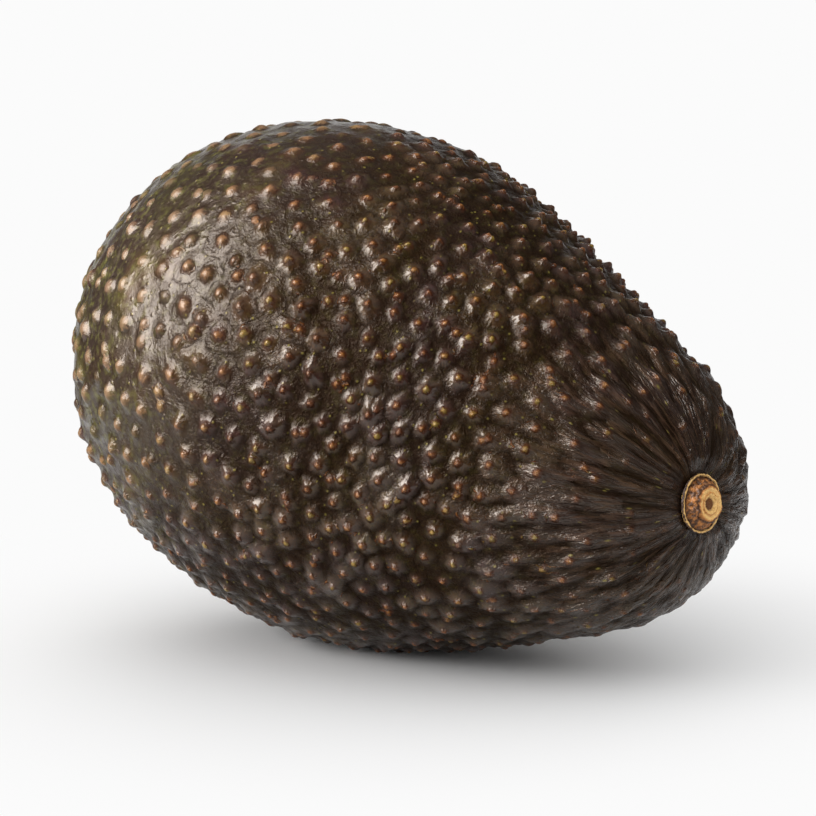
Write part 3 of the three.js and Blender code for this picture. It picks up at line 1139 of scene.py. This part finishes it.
def white_card(colour, near, far):
    """White card, matt: it takes the fruit's soft shadow.

    Further off than far it is seen as plain white, whatever light reaches it.
    """
    material, tree = new_material("white_card")
    add = functools.partial(add_node, tree)
    place = add("ShaderNodeTexCoord", out="Object")
    distance = add("ShaderNodeVectorMath", {0: place}, out="Value", operation="LENGTH")
    away = add(
        "ShaderNodeMapRange", {"Value": distance, "From Min": near, "From Max": far},
        interpolation_type="SMOOTHSTEP")
    seen = 0.0
    for ray in ("Is Camera Ray", "Is Glossy Ray", "Is Transmission Ray"):
        here = add("ShaderNodeLightPath", out=ray)
        seen = add("ShaderNodeMath", {0: seen, 1: here}, operation="MAXIMUM")
    shown = add("ShaderNodeMath", {0: away, 1: seen}, operation="MULTIPLY")
    lit = add("ShaderNodeBsdfDiffuse", {"Color": (*colour, 1)})
    plain = add("ShaderNodeEmission", {"Color": (*colour, 1)})
    both = add("ShaderNodeMixShader", {0: shown, 1: lit, 2: plain})
    add("ShaderNodeOutputMaterial", {"Surface": both})
    return material


# ------------------------------------------------------------------ stage


def look_from(azimuth, elevation):
    """Unit vector from the fruit towards a viewer. Azimuth 0 looks along +Y."""
    return Vector((
        math.sin(azimuth) * math.cos(elevation),
        -math.cos(azimuth) * math.cos(elevation),
        math.sin(elevation)))


def white_room(stage):
    """A white room. It gives soft even light, and the viewer sees it as plain white.

    In gloss it is dim but for a bright side overhead and a white wall behind the fruit.
    """
    world = bpy.data.worlds.new("white room")
    world.use_nodes = True
    tree = world.node_tree
    tree.nodes.clear()
    add = functools.partial(add_node, tree)
    direction = add("ShaderNodeTexCoord", out="Generated")
    sides = {}
    for name, towards, low, high in (
        ("bright", Vector(stage.bright_from).normalized(), stage.bright_edge, 1.0),
        ("wall", -look_from(stage.camera_azimuth, 0), stage.wall_edge, 1.0),
    ):
        facing = add(
            "ShaderNodeVectorMath", {0: direction, 1: towards}, out="Value",
            operation="DOT_PRODUCT")
        sides[name] = add(
            "ShaderNodeMapRange", {"Value": facing, "From Min": low, "From Max": high},
            interpolation_type="SMOOTHSTEP")
    camera, glossy, transmission = (
        add("ShaderNodeLightPath", out=f"Is {ray} Ray")
        for ray in ("Camera", "Glossy", "Transmission"))
    room = add(
        "ShaderNodeMix", {0: sides["bright"], 2: stage.room_dim, 3: stage.room_bright},
        data_type="FLOAT")
    lit = add("ShaderNodeMix", {0: glossy, 2: stage.room_light, 3: room}, data_type="FLOAT")
    mirrored = add("ShaderNodeMath", {0: sides["wall"], 1: glossy}, operation="MULTIPLY")
    through = add("ShaderNodeMath", {0: camera, 1: transmission}, operation="MAXIMUM")
    shown = add("ShaderNodeMath", {0: through, 1: mirrored}, operation="MAXIMUM")
    strength = add("ShaderNodeMix", {0: shown, 2: lit, 3: 1.0}, data_type="FLOAT")
    light = add("ShaderNodeBackground", {"Color": (*stage.floor_colour, 1), "Strength": strength})
    add("ShaderNodeOutputWorld", {"Surface": light})
    return world


def area_lamp(name, width, height, power, middle, towards, distance, lit):
    """Hangs a lamp that faces the middle from a direction, and lights only what lit names."""
    scene = bpy.context.scene
    lamp = bpy.data.lights.new(name, "AREA")
    lamp.shape = "RECTANGLE"
    lamp.size = width
    lamp.size_y = height
    lamp.energy = power
    holder = bpy.data.objects.new(name, lamp)
    towards = Vector(towards).normalized()
    holder.location = middle + towards * distance
    holder.rotation_euler = towards.to_track_quat("Z", "Y").to_euler()
    scene.collection.objects.link(holder)
    receivers = bpy.data.collections.new(f"lit by the {name}")
    for piece in lit:
        receivers.objects.link(bpy.data.objects[piece])
    holder.light_linking.receiver_collection = receivers
    return holder


class AVOCADO_OT_stage(bpy.types.Operator):
    """Lays a white floor and sets up the lamps and the camera"""

    bl_idname = "avocado.stage"
    bl_label = "Stage"

    def execute(self, context):
        scene = context.scene
        stage = scene.avocado_stage
        low, high = CAD_BOX
        middle = Vector((0, 0, (low.z + high.z) / 2))

        half = stage.floor_size / 2
        card = bpy.data.meshes.new("floor")
        card.from_pydata(
            [(-half, -half, 0), (half, -half, 0), (half, half, 0), (-half, half, 0)],
            [], [(0, 1, 2, 3)])
        floor = bpy.data.objects.new("floor", card)
        floor.location.z = low.z
        card.materials.append(
            white_card(tuple(stage.floor_colour), stage.shadow_reach, stage.white_reach))
        scene.collection.objects.link(floor)

        scene.world = white_room(stage)
        area_lamp(
            "softbox", stage.softbox_width, stage.softbox_height, stage.softbox_power,
            middle, stage.softbox_from, stage.softbox_distance, PIECES)
        glint = area_lamp(
            "glint light", stage.softbox_width, stage.softbox_height, stage.glint_power,
            middle, stage.softbox_from, stage.softbox_distance, PIECES)
        glint.visible_diffuse = False      # it brightens highlights and nothing else
        area_lamp(
            "ceiling light", stage.ceiling_side, stage.ceiling_side,
            stage.ceiling_power, middle, stage.ceiling_from, stage.lamp_distance, ("floor",))
        fill = area_lamp(
            "fill light", stage.lamp_side, stage.lamp_side, stage.fill_power,
            middle, stage.fill_from, stage.lamp_distance, PIECES)
        fill.visible_glossy = False        # it lifts the shade without a grey veil of gloss
        for name, power, turn, elevation in (
            ("left", stage.left_power, stage.left_turn, stage.left_elevation),
            ("rear", stage.rear_power, stage.rear_turn, stage.rear_elevation),
        ):
            area_lamp(
                f"{name} floor light", stage.lamp_side, stage.lamp_side / 2, power, middle,
                look_from(stage.camera_azimuth + turn, elevation), stage.lamp_distance,
                ("floor",))

        fruit_low, fruit_high = (Vector(corner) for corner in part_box("fruit"))
        heart = (fruit_low + fruit_high) / 2 + Vector(stage.camera_heart)
        back = look_from(stage.camera_azimuth, stage.camera_elevation)
        right = Vector((math.cos(stage.camera_azimuth), math.sin(stage.camera_azimuth), 0))
        aim = heart + right * stage.aim_right - back.cross(right) * stage.aim_down
        lens = bpy.data.cameras.new("camera")
        lens.lens = stage.lens
        lens.sensor_width = 36
        lens.clip_start = 0.02
        camera = bpy.data.objects.new("camera", lens)
        camera.location = heart + back * stage.camera_distance
        camera.rotation_euler = (camera.location - aim).to_track_quat("Z", "Y").to_euler()
        scene.collection.objects.link(camera)
        scene.camera = camera
        scene.view_settings.view_transform = "Standard"
        return {"FINISHED"}


# ------------------------------------------------------------------ panel and running


class AVOCADO_PT_pieces(bpy.types.Panel):
    """Lists what can be made"""

    bl_label = "Avocado"
    bl_space_type = "VIEW_3D"
    bl_region_type = "UI"
    bl_category = "Avocado"

    def draw(self, context):
        for operator in OPERATORS:
            self.layout.operator(operator.bl_idname)


SETTINGS = {
    "avocado_form": FruitForm,
    "avocado_relief": RindRelief,
    "avocado_rind_colours": RindColours,
    "avocado_button": ButtonSizes,
    "avocado_button_colours": ButtonColours,
    "avocado_stage": StageSettings,
}
OPERATORS = (AVOCADO_OT_rind, AVOCADO_OT_stalk_button, AVOCADO_OT_stage)


def register():
    for group in SETTINGS.values():
        bpy.utils.register_class(group)
    for name, group in SETTINGS.items():
        setattr(bpy.types.Scene, name, PointerProperty(type=group))
    for operator in OPERATORS:
        bpy.utils.register_class(operator)
    bpy.utils.register_class(AVOCADO_PT_pieces)


def unregister():
    bpy.utils.unregister_class(AVOCADO_PT_pieces)
    for operator in reversed(OPERATORS):
        bpy.utils.unregister_class(operator)
    for name, group in SETTINGS.items():
        delattr(bpy.types.Scene, name)
        bpy.utils.unregister_class(group)


def main():
    register()
    bpy.ops.avocado.rind()
    bpy.ops.avocado.stalk_button()
    bpy.ops.avocado.stage()


if __name__ == "__main__":
    main()
